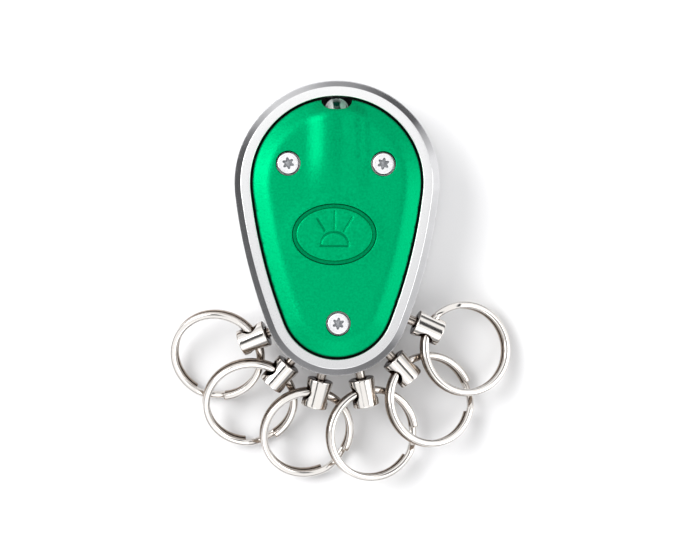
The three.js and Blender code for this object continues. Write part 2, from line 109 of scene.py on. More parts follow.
class Nodes:
    """A new material's node tree, with short calls for the nodes used here."""

    def __init__(self, name):
        self.material = bpy.data.materials.new(name)
        self.material.use_nodes = True
        self.tree = self.material.node_tree
        self.shader = self.tree.nodes["Principled BSDF"]
        self.position = self.tree.nodes.new("ShaderNodeTexCoord").outputs["Object"]

    def set(self, **values):
        for key, value in values.items():
            self.shader.inputs[key.replace("_", " ")].default_value = value

    def link(self, source, target):
        self.tree.links.new(source, target)

    def to_shader(self, source, socket):
        self.link(source, self.shader.inputs[socket])

    def noise(self, scale, detail=2.0, stretch=None):
        node = self.tree.nodes.new("ShaderNodeTexNoise")
        node.inputs["Scale"].default_value = scale
        node.inputs["Detail"].default_value = detail
        self.link(self.stretched(stretch), node.inputs["Vector"])
        return node.outputs["Fac"]

    def stretched(self, stretch):
        if stretch is None:
            return self.position
        node = self.tree.nodes.new("ShaderNodeMapping")
        node.inputs["Scale"].default_value = stretch
        self.link(self.position, node.inputs["Vector"])
        return node.outputs["Vector"]

    def spread(self, source, low, high, start=0.3, stop=0.7):
        node = self.tree.nodes.new("ShaderNodeMapRange")
        for key, value in (("From Min", start), ("From Max", stop), ("To Min", low), ("To Max", high)):
            node.inputs[key].default_value = value
        self.link(source, node.inputs["Value"])
        return node.outputs["Result"]

    def axis(self, letter):
        node = self.tree.nodes.new("ShaderNodeSeparateXYZ")
        self.link(self.position, node.inputs["Vector"])
        return node.outputs[letter]

    def ramp(self, source, stops):
        return colour_ramp(self.tree, source, stops)

    def bump(self, source, strength, distance):
        node = self.tree.nodes.new("ShaderNodeBump")
        node.inputs["Strength"].default_value = strength
        node.inputs["Distance"].default_value = distance
        self.link(source, node.inputs["Height"])
        self.to_shader(node.outputs["Normal"], "Normal")


def metal(name, dark, light, rough, scale=900, grain=None, bump=0.0):
    """A metal whose colour and polish drift a little over its surface, with fine grain."""
    made = Nodes(name)
    made.set(Metallic=1.0)
    drift = made.noise(scale, 3)
    made.to_shader(made.ramp(drift, [(0.35, dark), (0.65, light)]), "Base Color")
    fine = made.noise(grain or scale * 6, 3)
    made.to_shader(made.spread(fine, *rough), "Roughness")
    if bump:
        made.bump(fine, bump, 0.00002)
    return made.material


def plastic(name, dark, light, rough):
    """A plastic with a fine moulded grain."""
    made = Nodes(name)
    grain = made.noise(1500, 4)
    made.to_shader(made.ramp(grain, [(0.35, dark), (0.65, light)]), "Base Color")
    made.to_shader(made.spread(grain, *rough), "Roughness")
    made.bump(grain, 0.2, 0.00002)
    return made.material


def nickel_plate():
    """Bright nickel with fine scuffs, and painted shade: browner and darker where pieces crowd together."""
    made = Nodes("nickel")
    made.set(Metallic=1.0)
    # painted shade: ambient occlusion turns the colour dark brown in creases, close gaps and under things
    crevice_shade = made.tree.nodes.new("ShaderNodeAmbientOcclusion")
    crevice_shade.samples = 8
    crevice_shade.inputs["Distance"].default_value = 0.005
    tint = made.ramp(crevice_shade.outputs["AO"], [
        (0.2, (0.035, 0.02, 0.014)), (0.42, (0.22, 0.175, 0.145)),
        (0.62, (0.66, 0.62, 0.58)), (0.9, (0.82, 0.79, 0.76)),
    ])
    made.to_shader(tint, "Base Color")
    fine = made.noise(3500, 3)
    made.to_shader(made.spread(fine, 0.06, 0.15), "Roughness")
    made.bump(fine, 0.1, 0.00002)
    return made.material


def green_paint(name, dark, light):
    """Green anodised metal with fine flakes that catch the light one by one."""
    made = Nodes(name)
    made.set(Metallic=1.0)
    flakes = made.noise(2600, 3)
    tint = made.ramp(flakes, [(0.35, dark), (0.65, light)])
    made.to_shader(tint, "Base Color")
    made.to_shader(made.spread(flakes, 0.36, 0.5), "Roughness")
    made.bump(made.noise(2900, 3), 0.6, 0.00006)
    return made.material


def satin_alloy():
    """Satin casting with painted shade: its colour grows darker towards the rings."""
    made = Nodes("satin_alloy")
    made.set(Metallic=1.0)
    # painted shade: the colour runs from light at +Y to darker at -Y, towards the rings
    along = made.spread(made.axis("Y"), 0.0, 1.0, -0.03, 0.03)
    made.to_shader(made.ramp(along, [(0.0, (0.66, 0.66, 0.67)), (1.0, (0.88, 0.88, 0.885))]), "Base Color")
    grain = made.noise(4200, 3)
    made.to_shader(made.spread(grain, 0.26, 0.34), "Roughness")
    made.bump(grain, 0.12, 0.00002)
    return made.material


def clear_lens():
    """The lamp's clear epoxy with painted reflections: light and dark streaks in its colour, which also glow
    faintly though the lamp is off.
    """
    made = Nodes("clear_lens")
    made.set(Transmission_Weight=0.25, IOR=1.52, Emission_Strength=0.3)
    across = made.spread(made.axis("X"), 0.0, 1.0, -LENS_R * MM, LENS_R * MM)
    wander = made.spread(made.noise(900, 2, (1.0, 0.25, 1.0)), -0.07, 0.07)
    shifted = made.tree.nodes.new("ShaderNodeMath")
    made.link(across, shifted.inputs[0])
    made.link(wander, shifted.inputs[1])
    # painted reflections: white and green streaks on near black, laid into the colour and into a faint glow
    painted_glints = made.ramp(shifted.outputs["Value"], [
        (0.05, (0.0, 0.01, 0.006)), (0.11, (1.0, 1.0, 1.0)),
        (0.27, (0.95, 1.0, 0.98)), (0.34, (0.002, 0.045, 0.028)),
        (0.62, (0.001, 0.03, 0.018)), (0.7, (0.3, 0.5, 0.41)),
        (0.86, (0.5, 0.72, 0.62)), (0.95, (0.0, 0.02, 0.01)),
    ])
    made.to_shader(painted_glints, "Base Color")
    made.to_shader(painted_glints, "Emission Color")
    made.to_shader(made.spread(made.noise(1200, 2), 0.03, 0.1), "Roughness")
    made.bump(made.noise(1500, 2), 0.3, 0.0001)
    return made.material


SATIN = satin_alloy()
# grey: painted shade inside the screws' six-lobe recesses
SHADED_RECESS = metal("screw_recess_shade", (0.30, 0.31, 0.33), (0.42, 0.43, 0.45), (0.3, 0.5), 2500, 6000, 0.2)
# near black: painted shade in the housing's bores, pocket and inner walls, and on the screw heads' rims
SHADE_BLACK = metal("recess_shade_black", (0.02, 0.02, 0.021), (0.035, 0.035, 0.036), (0.5, 0.7), 900, 3000, 0.2)
BRIGHT = metal("bright_bevel", (0.76, 0.76, 0.775), (0.80, 0.80, 0.815), (0.07, 0.12), 300, 4000, 0.03)
NICKEL = nickel_plate()
# near black: painted shade in the crease between a split ring's turns
CREASE_SHADE_NICKEL = metal("nickel_crease_shade", (0.008, 0.006, 0.005), (0.02, 0.014, 0.01), (0.35, 0.5), 1500, 5000, 0.1)
# tan brown: painted shade on the split rings' wire sides
SIDE_SHADE_NICKEL = metal("nickel_side_shade", (0.32, 0.26, 0.215), (0.44, 0.37, 0.31), (0.12, 0.22), 1500, 5000, 0.1)
STEEL = metal("white_steel", (0.84, 0.84, 0.86), (0.92, 0.92, 0.94), (0.22, 0.34), 900, 5000, 0.1)
TINNED = metal("tinned_wire", (0.62, 0.62, 0.63), (0.72, 0.72, 0.73), (0.2, 0.35))
CELL = metal("cell_steel", (0.66, 0.67, 0.69), (0.76, 0.77, 0.79), (0.15, 0.28), 400, 3000, 0.08)
BRASS = metal("contact_brass", (0.70, 0.52, 0.25), (0.80, 0.64, 0.34), (0.18, 0.3))
GREEN = green_paint("green_metal", (0.0, 0.345, 0.124), (0.0, 0.43, 0.162))
# darker green: painted shade in the key's groove and the symbol's cut lines
GREEN_SHADED = green_paint("green_metal_shade", (0.0, 0.2, 0.072), (0.0, 0.26, 0.095))
LENS = clear_lens()
BOARD = plastic("board", (0.008, 0.07, 0.025), (0.014, 0.11, 0.04), (0.35, 0.55))
BLACK = plastic("black_plastic", (0.008, 0.008, 0.009), (0.016, 0.016, 0.018), (0.5, 0.7))
RED = plastic("plunger_red", (0.20, 0.015, 0.01), (0.28, 0.025, 0.015), (0.3, 0.45))

# ------------------------------------------------------------------ mesh helpers


def finish_piece(name, mesh, materials, body, nodes, sharp):
    """Turns a bmesh in millimetres into a piece that rides on a body and stands for CAD nodes.

    Edges that turn by more than sharp degrees stay sharp.
    """
    bmesh.ops.remove_doubles(mesh, verts=mesh.verts, dist=1e-4)
    bmesh.ops.recalc_face_normals(mesh, faces=mesh.faces)
    for edge in mesh.edges:
        edge.smooth = edge.calc_face_angle(0) < math.radians(sharp)
    for face in mesh.faces:
        face.smooth = True
    bmesh.ops.scale(mesh, vec=(MM, MM, MM), verts=mesh.verts)
    data = bpy.data.meshes.new(name)
    mesh.to_mesh(data)
    mesh.free()
    for material in materials:
        data.materials.append(material)
    piece = bpy.data.objects.new(name, data)
    bpy.context.scene.collection.objects.link(piece)
    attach(piece, body)
    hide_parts(*nodes)
    return piece


def loft(mesh, loops, ring=False, caps=True):
    """Skins a stack of loops with as many points each, and caps the ends of an open stack."""
    rows = [[mesh.verts.new(point) for point in loop] for loop in loops]
    count = len(rows[0])
    pairs = list(zip(rows, rows[1:])) + ([(rows[-1], rows[0])] if ring else [])
    for low, high in pairs:
        for i in range(count):
            j = (i + 1) % count
            mesh.faces.new((low[i], low[j], high[j], high[i]))
    if caps and not ring:
        for row in (rows[0], rows[-1]):
            hub = mesh.verts.new(sum((vert.co for vert in row), Vector()) / count)
            for i in range(count):
                mesh.faces.new((hub, row[i], row[(i + 1) % count]))
    return rows


def rounded(points, steps=3, closed=False):
    """Rounds the corners of a line of (a, b) or (a, b, radius) points."""
    made = []
    last = len(points) - 1
    for i, point in enumerate(points):
        here = Vector(point[:2])
        if len(point) < 3 or (not closed and i in (0, last)):
            made.append(here)
            continue
        back = Vector(points[i - 1][:2]) - here
        ahead = Vector(points[(i + 1) % len(points)][:2]) - here
        reach = min(point[2], back.length * 0.49, ahead.length * 0.49)
        start = here + back.normalized() * reach
        stop = here + ahead.normalized() * reach
        for step in range(steps + 1):
            t = step / steps
            made.append(start * (1 - t) ** 2 + here * (2 * t * (1 - t)) + stop * t * t)
    return made


def turned(mesh, profile, segments, place):
    """A turned piece about the local Z axis. The profile runs from the axis back to the axis."""
    rings = []
    for radius, height in profile:
        if radius < 1e-6:
            rings.append([mesh.verts.new(place @ Vector((0, 0, height)))])
            continue
        rings.append([
            mesh.verts.new(place @ Vector((
                radius * math.cos(TAU * i / segments), radius * math.sin(TAU * i / segments), height)))
            for i in range(segments)
        ])
    for low, high in zip(rings, rings[1:]):
        for i in range(segments):
            j = (i + 1) % segments
            corners = [low[i % len(low)], low[j % len(low)], high[j % len(high)], high[i % len(high)]]
            corners = list(dict.fromkeys(corners))
            if len(corners) > 2:
                mesh.faces.new(corners)


def cutter_object(mesh):
    bmesh.ops.remove_doubles(mesh, verts=mesh.verts, dist=1e-5)
    bmesh.ops.recalc_face_normals(mesh, faces=mesh.faces)
    data = bpy.data.meshes.new("cutter")
    mesh.to_mesh(data)
    mesh.free()
    cutter = bpy.data.objects.new("cutter", data)
    bpy.context.scene.collection.objects.link(cutter)
    return cutter


def carved(mesh, cutters):
    """The bmesh less each cutter bmesh, in millimetres."""
    base = cutter_object(mesh)
    tools = [cutter_object(cutter) for cutter in cutters]
    for tool in tools:
        modifier = base.modifiers.new("cut", "BOOLEAN")
        modifier.operation = "DIFFERENCE"
        modifier.solver = "EXACT"
        modifier.object = tool
    bpy.context.view_layer.update()
    result = bmesh.new()
    result.from_object(base, bpy.context.evaluated_depsgraph_get())
    for tool in [base, *tools]:
        data = tool.data
        bpy.data.objects.remove(tool)
        bpy.data.meshes.remove(data)
    return result


# ------------------------------------------------------------------ egg outline

to_top = FLANK_R - TOP_R
to_bottom = FLANK_R - BOTTOM_R
FLANK_Y = (TOP_Y + BOTTOM_Y + (to_bottom ** 2 - to_top ** 2) / (TOP_Y - BOTTOM_Y)) / 2
FLANK_X = -math.sqrt(to_top ** 2 - (FLANK_Y - TOP_Y) ** 2)
UPPER = math.atan2(TOP_Y - FLANK_Y, -FLANK_X)
LOWER = math.atan2(BOTTOM_Y - FLANK_Y, -FLANK_X)


def arc(x, y, radius, start, stop, steps):
    for i in range(steps):
        angle = start + (stop - start) * i / steps
        yield Vector((x + radius * math.cos(angle), y + radius * math.sin(angle)))


def egg(offset, steps=1.0):
    """The egg moved outward by offset, anticlockwise from the right flank."""
    flank, top, bottom = (round(count * steps) for count in (40, 120, 64))
    return [
        *arc(FLANK_X, FLANK_Y, FLANK_R + offset, LOWER, UPPER, flank),
        *arc(0, TOP_Y, TOP_R + offset, UPPER, math.pi - UPPER, top),
        *arc(-FLANK_X, FLANK_Y, FLANK_R + offset, math.pi - UPPER, math.pi - LOWER, flank),
        *arc(0, BOTTOM_Y, BOTTOM_R + offset, math.pi - LOWER, TAU + LOWER, bottom),
    ]


def inset(x, y):
    """How far a point lies inside the parting line."""
    angle = math.atan2(y - FLANK_Y, abs(x) - FLANK_X)
    if angle > UPPER:
        return TOP_R - math.hypot(x, y - TOP_Y)
    if angle < LOWER:
        return BOTTOM_R - math.hypot(x, y - BOTTOM_Y)
    return FLANK_R - math.hypot(abs(x) - FLANK_X, y - FLANK_Y)


# ------------------------------------------------------------------ where the swivels and rings stand


def attitude(origin, heading, dip, roll):
    """Local X points outward along a heading and dips, and the roll lifts the local -Y side."""
    heading, dip, roll = (math.radians(value) for value in (heading, dip, roll))
    out = Vector((math.sin(heading), -math.cos(heading), 0))
    side = Vector((math.cos(heading), math.sin(heading), 0))
    up = Vector((0, 0, 1))
    along = out * math.cos(dip) - up * math.sin(dip)
    normal = up * math.cos(dip) + out * math.sin(dip)
    across = side * math.cos(roll) - normal * math.sin(roll)
    place = Matrix((along, across, along.cross(across))).transposed().to_4x4()
    return Matrix.Translation(origin) @ place


def eye_of(station):
    bearing = math.radians(station["bearing"])
    reach = station["reach"]
    return Vector((reach * math.sin(bearing), BOTTOM_Y - reach * math.cos(bearing), EYE_HEIGHT))


def swivel_place(station):
    return attitude(eye_of(station), station["heading"], PIN_LEAN, station["roll"])


def ring_place(station):
    turn = station["heading"] + station["yaw"]
    place = attitude(eye_of(station), turn, station["dip"], station["roll"])
    return place @ Matrix.Translation((EYE_TO_CENTRE + station["slide"], 0, 0))


ALONG_X = Matrix.Rotation(math.pi / 2, 4, "Y")          # turns a lathe's Z axis onto local X
ALONG_Y = Matrix.Rotation(-math.pi / 2, 4, "X")         # and onto +Y
LAMP_PLACE = Matrix.Translation((0, 0, LED_Z)) @ ALONG_Y

# ------------------------------------------------------------------ housing

WALL_OUT, WALL_IN = 3.6, -1.0                # the section's sides, measured out from the parting line
LEDGE, FOOT_OUT, BEVEL_IN = 0.3, 2.8, 2.2
PLATE_SEAT, COVER_SEAT, BEVEL_FOOT = 1.8, 10.2, 11.85
LAMP_BORE_R, LAMP_BORE_START, LAMP_FLARE_START = 2.75, 23, 28.9
LAMP_FLARE_R, LAMP_FLARE_END = 3.5, 31
POCKET_CENTRE, POCKET_SIZE = (0, 24.35, 9.7), (6.1, 4, 3)
PIN_BORE_R, PIN_BORE_FLOOR, PIN_BORE_END = 1.3, -11.9, -2.9


def frame_section():
    """The housing's closed section, as (distance outside the parting line, height)."""
    wall = [(WALL_OUT, 0.8, 0.25), (WALL_OUT, 3), (WALL_OUT, 5), (WALL_OUT, 7), (WALL_OUT, 9)]
    wall.append((WALL_OUT, BEVEL_FOOT, 0.1))
    rim = [(BEVEL_IN, FRAME_TOP, 0.08), (LEDGE + 0.15, FRAME_TOP, 0.12), (LEDGE, FRAME_TOP - 0.2, 0.1)]
    inside = [(LEDGE, COVER_SEAT), (WALL_IN, COVER_SEAT), (WALL_IN, PLATE_SEAT), (LEDGE, PLATE_SEAT)]
    foot = [(LEDGE, 0), (FOOT_OUT, 0, 0.25)]
    return rounded(wall + rim + inside + foot, closed=True)


def frame_bores():
    """The flared lamp bore, the pocket over the lamp, and the six pin bores."""
    lamp = bmesh.new()
    turned(lamp, [
        (0, LAMP_BORE_START), (LAMP_BORE_R, LAMP_BORE_START), (LAMP_BORE_R, LAMP_FLARE_START),
        (LAMP_FLARE_R, LAMP_FLARE_END), (0, LAMP_FLARE_END),
    ], 64, LAMP_PLACE)
    pocket = bmesh.new()
    place = Matrix.Translation(POCKET_CENTRE) @ Matrix.Diagonal((*POCKET_SIZE, 1))
    bmesh.ops.create_cube(pocket, size=1, matrix=place)
    cutters = [lamp, pocket]
    bore = [(0, PIN_BORE_FLOOR), (PIN_BORE_R, PIN_BORE_FLOOR), (PIN_BORE_R, PIN_BORE_END), (0, PIN_BORE_END)]
    for station in STATIONS:
        cutter = bmesh.new()
        turned(cutter, bore, 48, swivel_place(station) @ ALONG_X)
        cutters.append(cutter)
    return cutters


def make_frame():
    """The housing, satin outside, with a bright bevel round its rim and painted shade, near black, on its
    inside walls and bores.
    """
    mesh = bmesh.new()
    loops = [[(*point, height) for point in egg(offset)] for offset, height in frame_section()]
    loft(mesh, loops, ring=True)
    bmesh.ops.recalc_face_normals(mesh, faces=mesh.faces)
    result = carved(mesh, frame_bores())
    # The inner walls, bores and pocket take the near black: painted shade.
    for face in result.faces:
        centre = face.calc_center_median()
        out = -inset(centre.x, centre.y)
        if 0.2 < face.normal.z < 0.97 and centre.z > BEVEL_FOOT - 0.35 and out > 1:
            face.material_index = 1
        elif out < WALL_OUT - 0.1 and 0.1 < centre.z < FRAME_TOP - 0.2:
            face.material_index = 2
        else:
            face.material_index = 0
    looks = [SATIN, BRIGHT, SHADE_BLACK]
    return finish_piece("frame_shell", result, looks, "root", ["body_frame"], 30)


# ------------------------------------------------------------------ cover and key


def shoulder_height(depth):
    """A steady slope near the edge that eases off to level further in."""
    slope, start, stop = 0.4, 2.0, 4.4
    t = min(max((depth - start) / (stop - start), 0), 1)
    return slope * (min(depth, start) + (stop - start) * (t - t ** 3 + t ** 4 / 2))


def ellipse_distance(x, y, a, b):
    """Near an ellipse, how far a point is outside it."""
    value = (x / a) ** 2 + (y / b) ** 2 - 1
    slope = 2 * math.hypot(x / a ** 2, y / b ** 2)
    return value / max(slope, 1e-6)


def cover_top(x, y):
    """A shoulder all round, a ridge behind the lamp with a step on its right, a dome under the key."""
    depth = max(inset(x, y) - COVER_INSET, 0)
    low, high = 0.25, 0.6
    climb = (low + high) * smooth(x, -6.6, -1.7)
    ridge = climb - low * smooth(x, -1.3, 1.3) - high * smooth(x, 3.6, 6.8)
    inner = smooth(depth, 0, 3)
    along = smooth(y, 4, 15) * inner
    dome = 0.15 * (1 - smooth(ellipse_distance(x - KEY_X, y - KEY_Y, KEY_A, KEY_B), 0, 2.4)) * inner
    return FRAME_TOP + shoulder_height(depth) + ridge * along + dome


def notch_value(x, y):
    return (abs(x) / NOTCH_A) ** NOTCH_POWER + (abs(y - NOTCH_Y) / NOTCH_B) ** NOTCH_POWER - 1


def notch_distance(x, y):
    """Near the lamp notch, how far a point is outside it."""
    power = NOTCH_POWER
    slope = power * math.hypot(
        (abs(x) / NOTCH_A) ** (power - 1) / NOTCH_A,
        (abs(y - NOTCH_Y) / NOTCH_B) ** (power - 1) / NOTCH_B,
    )
    return notch_value(x, y) / max(slope, 1e-6)


def squared(value, power):
    """A cosine or sine pushed towards 1, which turns an ellipse into a rounded oblong."""
    return math.copysign(abs(value) ** power, value)


def notch_line(step):
    """Points round the lamp notch, moved outward by step."""
    line = []
    for i in range(NOTCH_POINTS):
        angle = TAU * i / NOTCH_POINTS
        line.append(Vector((
            (NOTCH_A + step) * squared(math.cos(angle), 2 / NOTCH_POWER),
            NOTCH_Y + (NOTCH_B + step) * squared(math.sin(angle), 2 / NOTCH_POWER),
        )))
    return line


def fillet_drop(distance, radius):
    """How far a rounded edge has dropped at a distance from it."""
    if distance >= radius:
        return 0.0
    reach = radius - max(distance, 0)
    return radius - math.sqrt(max(radius ** 2 - reach ** 2, 0))


def ellipse(x, y, a, b, count):
    angles = [TAU * i / count for i in range(count)]
    return [Vector((x + a * math.cos(angle), y + b * math.sin(angle))) for angle in angles]


def scatter(points, spacing, bounds, wanted):
    """A hexagonal filling of points that keeps clear of the points already there."""
    cells = {}
    for point in points:
        cells.setdefault((math.floor(point.x / spacing), math.floor(point.y / spacing)), []).append(point)
    low_x, high_x, low_y, high_y = bounds
    row_step, clearance = spacing * 0.866, spacing * 0.62
    filled = []
    rows = int((high_y - low_y) / row_step) + 1
    for row in range(rows):
        y = low_y + row * row_step
        x = low_x + (row % 2) * spacing / 2
        while x <= high_x:
            cell = (math.floor(x / spacing), math.floor(y / spacing))
            near = (
                p for i in (-1, 0, 1) for j in (-1, 0, 1) for p in cells.get((cell[0] + i, cell[1] + j), ())
            )
            if wanted(x, y) and all(math.hypot(p.x - x, p.y - y) > clearance for p in near):
                filled.append(Vector((x, y)))
            x += spacing
    return filled


def relief(mesh, boundaries, points, keep, top, bottom):
    """A plate with a shaped top. boundaries are closed lines; keep says which faces belong to the plate."""
    flat = [point for line in boundaries for point in line] + points
    edges = []
    start = 0
    for line in boundaries:
        count = len(line)
        edges += [(start + i, start + (i + 1) % count) for i in range(count)]
        start += count
    coords, _, faces, *_ = delaunay_2d_cdt(flat, edges, [], 0, 1e-5, True)
    kept = []
    for face in faces:
        centre = sum((coords[i] for i in face), Vector((0, 0))) / len(face)
        if keep(centre.x, centre.y):
            kept.append(face)
    upper = {}
    lower = {}
    for i in {i for face in kept for i in face}:
        x, y = coords[i]
        upper[i] = mesh.verts.new((x, y, top(x, y)))
        lower[i] = mesh.verts.new((x, y, bottom(x, y)))
    for face in kept:
        mesh.faces.new([upper[i] for i in face])
        mesh.faces.new([lower[i] for i in reversed(face)])
    sides = dict.fromkeys(side for face in kept for side in zip(face, (*face[1:], face[0])))
    for a, b in sides:
        if (b, a) not in sides:
            mesh.faces.new((upper[b], upper[a], lower[a], lower[b]))


SEAT_R = 2.45
EDGE_ROUND, RIM_ROUND = 0.2, 0.3
EDGE_STEPS = (0.012, 0.04, 0.08, 0.13, 0.2, 0.32, 0.5)  # lines of points round each opening
COVER_STEPS = (                                         # and inside the outline
    0.012, 0.045, 0.1, 0.18, 0.32, 0.5, 0.72, 0.98, 1.28, 1.6, 1.95, 2.3, 2.7, 3.1, 3.5, 3.9, 4.3, 4.8, 5.3,
)
COVER_THICKNESS, COVER_UNDERSIDE = 2.5, 11.7
KEY_POINTS, SEAT_POINTS, NOTCH_POINTS = 160, 80, 96


def cover_outline():
    """The cover's outline with the lamp notch taken out of its top."""
    outline = egg(-COVER_INSET)
    outside = [notch_value(point.x, point.y) > 0 for point in outline]
    first = next(i for i in range(len(outline)) if outside[i] and not outside[i - 1])
    ordered = outline[first:] + outline[:first]
    kept = [point for point in ordered if notch_value(point.x, point.y) > 0]
    bite = [point for point in notch_line(0) if inset(point.x, point.y) > COVER_INSET + 0.05]
    bite.sort(key=lambda point: -point.x)
    return kept + bite


def make_cover():
    """The green cover, with openings for the key, the lamp and the three screws."""

    def openings_distance(x, y):
        gaps = [math.hypot(x - sx, y - sy) - SEAT_R for sx, sy in SCREW_SITES]
        gaps.append(ellipse_distance(x - KEY_X, y - KEY_Y, KEY_A, KEY_B))
        gaps.append(notch_distance(x, y))
        return min(gaps)

    def top(x, y):
        rim = fillet_drop(inset(x, y) - COVER_INSET, RIM_ROUND)
        return cover_top(x, y) - max(fillet_drop(openings_distance(x, y), EDGE_ROUND), rim)

    def bottom(x, y):
        return min(cover_top(x, y) - COVER_THICKNESS, COVER_UNDERSIDE)

    def wanted(x, y):
        return inset(x, y) > COVER_INSET + 0.3 and openings_distance(x, y) > 0.25

    def keep(x, y):
        return inset(x, y) > COVER_INSET - 0.02 and openings_distance(x, y) > -0.005

    boundaries = [cover_outline(), ellipse(KEY_X, KEY_Y, KEY_A, KEY_B, KEY_POINTS)]
    boundaries += [ellipse(x, y, SEAT_R, SEAT_R, SEAT_POINTS) for x, y in SCREW_SITES]
    points = []
    for step in COVER_STEPS:
        share = 1.0 if step < 1.5 else 0.6
        points += [p for p in egg(-COVER_INSET - step, share) if openings_distance(p.x, p.y) > 0.35]
    for step in EDGE_STEPS:
        points += ellipse(KEY_X, KEY_Y, KEY_A + step, KEY_B + step, KEY_POINTS)
        for x, y in SCREW_SITES:
            points += ellipse(x, y, SEAT_R + step, SEAT_R + step, SEAT_POINTS)
        points += [p for p in notch_line(step) if inset(p.x, p.y) > COVER_INSET + 0.06]
    points += scatter(boundaries[0] + points, 0.42, (-17, 17, -26, 26.2), wanted)

    mesh = bmesh.new()
    relief(mesh, boundaries, points, keep, top, bottom)
    return finish_piece("cover_shell", mesh, [GREEN], "root", ["front_cover"], 50)


GLYPH_R, GLYPH_Y, GLYPH_HALF, GLYPH_DEPTH = 2.8, -3.6, 0.22, 0.16
GLYPH_RAYS = [(-32, 3.6, 6.55), (0, 3.45, 6.9), (32, 3.5, 6.7)]
KEY_GAP, KEY_UNDERSIDE = 0.12, 12.35
GROOVE_WIDTH, GROOVE_DEPTH, KEY_ROUND = 0.72, 0.35, 0.4
KEY_STEPS = (-0.3, -0.02, 0.0, 0.012, 0.04, 0.08, 0.14, 0.2, 0.28, 0.4, 0.6)


def segment_distance(x, y, ax, ay, bx, by):
    dx, dy = bx - ax, by - ay
    t = min(max(((x - ax) * dx + (y - ay) * dy) / (dx * dx + dy * dy), 0), 1)
    return math.hypot(x - ax - t * dx, y - ay - t * dy)


def ray_ends(lean, near, far):
    """Both ends of a ray, near and far from the half disc's middle, leaning off straight up."""
    across, up = math.sin(math.radians(lean)), math.cos(math.radians(lean))
    return KEY_X + across * near, GLYPH_Y + up * near, KEY_X + across * far, GLYPH_Y + up * far


def glyph_distance(x, y):
    """How far a point is from the middle of the nearest line of the lamp symbol."""
    px, py = x - KEY_X, y - GLYPH_Y
    bow = abs(math.hypot(px, py) - GLYPH_R) if py > 0 else 9.0
    base = segment_distance(px, py, -GLYPH_R, 0, GLYPH_R, 0)
    rays = [segment_distance(x, y, *ray_ends(*ray)) for ray in GLYPH_RAYS]
    return min(bow, base, *rays)


def glyph_points():
    """Lines of points along the middle, the walls and the edges of the symbol's lines."""
    points = []
    bow = [math.pi * i / 48 for i in range(49)]
    for side in (-0.34, -GLYPH_HALF, -0.12, 0, 0.12, GLYPH_HALF, 0.34):
        radius = GLYPH_R + side
        points += [Vector((KEY_X + radius * math.cos(t), GLYPH_Y + radius * math.sin(t))) for t in bow]
        points += [Vector((KEY_X + GLYPH_R * (i / 24 - 1), GLYPH_Y + side)) for i in range(49)]
        for ray in GLYPH_RAYS:
            ax, ay, bx, by = ray_ends(*ray)
            way = Vector((bx - ax, by - ay))
            normal = Vector((-way.y, way.x)).normalized() * side
            points += [Vector((ax, ay)) + way * (i / 20) + normal for i in range(-2, 23)]
    return points


def make_key():
    """The oval key: a raised pad with the lamp symbol cut in it, and a groove round it."""
    edge_a, edge_b = KEY_A - GROOVE_WIDTH, KEY_B - GROOVE_WIDTH
    out_a, out_b = KEY_A - KEY_GAP, KEY_B - KEY_GAP

    def outside(x, y):
        return ellipse_distance(x - KEY_X, y - KEY_Y, out_a, out_b)

    def top(x, y):
        height = cover_top(x, y)
        away = -ellipse_distance(x - KEY_X, y - KEY_Y, edge_a, edge_b)
        if away < 0:
            return height - GROOVE_DEPTH
        cut = GLYPH_DEPTH * (1 - smooth(glyph_distance(x, y), GLYPH_HALF - 0.12, GLYPH_HALF + 0.06))
        return height - max(min(fillet_drop(away, KEY_ROUND), GROOVE_DEPTH), cut)

    boundaries = [ellipse(KEY_X, KEY_Y, out_a, out_b, KEY_POINTS)]
    points = []
    for step in KEY_STEPS:
        points += ellipse(KEY_X, KEY_Y, edge_a - step, edge_b - step, KEY_POINTS)
    points += glyph_points()
    points += scatter(
        boundaries[0] + points, 0.3, (-9.5, 8.5, -8, 5.5), lambda x, y: outside(x, y) < -0.1)

    mesh = bmesh.new()
    relief(mesh, boundaries, points, lambda x, y: outside(x, y) < 0.01, top, lambda x, y: KEY_UNDERSIDE)
    # The groove's faces and the symbol's lines take the darker green: painted shade.
    for face in mesh.faces:
        x, y, _ = face.calc_center_median()
        groove_side = ellipse_distance(x - KEY_X, y - KEY_Y, edge_a, edge_b) > -0.05
        face.material_index = 1 if groove_side or glyph_distance(x, y) < GLYPH_HALF - 0.02 else 0
    looks = [GREEN, GREEN_SHADED]
    return finish_piece("light_key", mesh, looks, "light_button", ["light_button"], 50)


# ------------------------------------------------------------------ screws and lamp

SCREW_TURNS = [40, 20, 24]
HEAD_R, SHANK_R, SCREW_LENGTH = 2.15, 1.15, 10.2
RECESS_R, RECESS_DEPTH = 1.22, 0.8
SCREW_POINTS = 96


